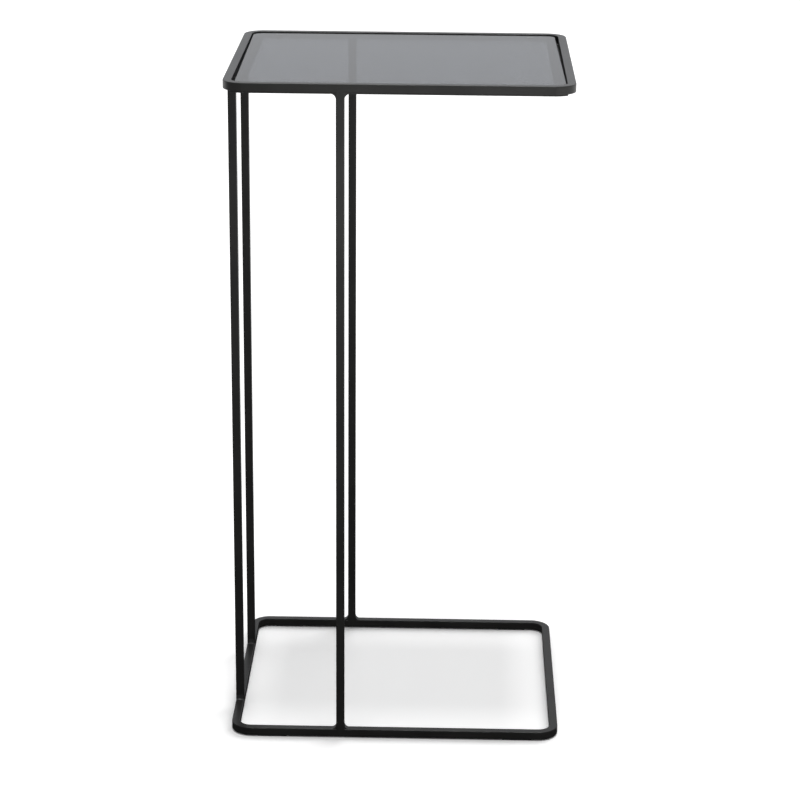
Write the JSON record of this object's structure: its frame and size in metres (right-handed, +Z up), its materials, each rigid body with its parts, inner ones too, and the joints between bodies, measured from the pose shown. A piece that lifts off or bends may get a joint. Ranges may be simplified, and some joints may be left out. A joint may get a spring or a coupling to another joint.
{
  "type": "c shaped side table",
  "caption": "C shaped side table with bent square bar loops at top and base, slim welded legs on the closed side and a loose smoked glass top that lifts out of its rim.",
  "frame": {"origin": "on the floor, under the middle of the table", "axes": "+X to the open side of the C, +Y to the rear, +Z up"},
  "size_m": [0.325, 0.28, 0.656],
  "materials": {
    "powder_coat": "satin black powder coat with a fine texture",
    "smoked_glass": "polished smoked grey toughened glass with ground arrises",
    "clear_silicone": "clear soft silicone",
    "black_rubber": "matt black rubber"
  },
  "bodies": {
    "frame": {"base_loop": "powder_coat", "top_rim": "powder_coat", "front_ledge": "powder_coat", "rear_ledge": "powder_coat", "left_ledge": "powder_coat", "right_ledge": "powder_coat", "front_leg": "powder_coat", "front_leg_foot_weld": "powder_coat", "front_leg_top_weld": "powder_coat", "rear_leg": "powder_coat", "rear_leg_foot_weld": "powder_coat", "rear_leg_top_weld": "powder_coat", "left_front_leg": "powder_coat", "left_front_leg_foot_weld": "powder_coat", "left_front_leg_top_weld": "powder_coat", "left_rear_leg": "powder_coat", "left_rear_leg_foot_weld": "powder_coat", "left_rear_leg_top_weld": "powder_coat", "front_left_bumper": "clear_silicone", "front_left_pad": "black_rubber", "front_right_bumper": "clear_silicone", "front_right_pad": "black_rubber", "rear_left_bumper": "clear_silicone", "rear_left_pad": "black_rubber", "rear_right_bumper": "clear_silicone", "rear_right_pad": "black_rubber"},
    "pane": {"glass_pane": "smoked_glass"}
  },
  "joints": [
    {"name": "glass_lift", "type": "slide", "parent": "frame", "child": "pane", "axis": [0, 0, 1], "range_m": [0, 0.06]}
  ]
}
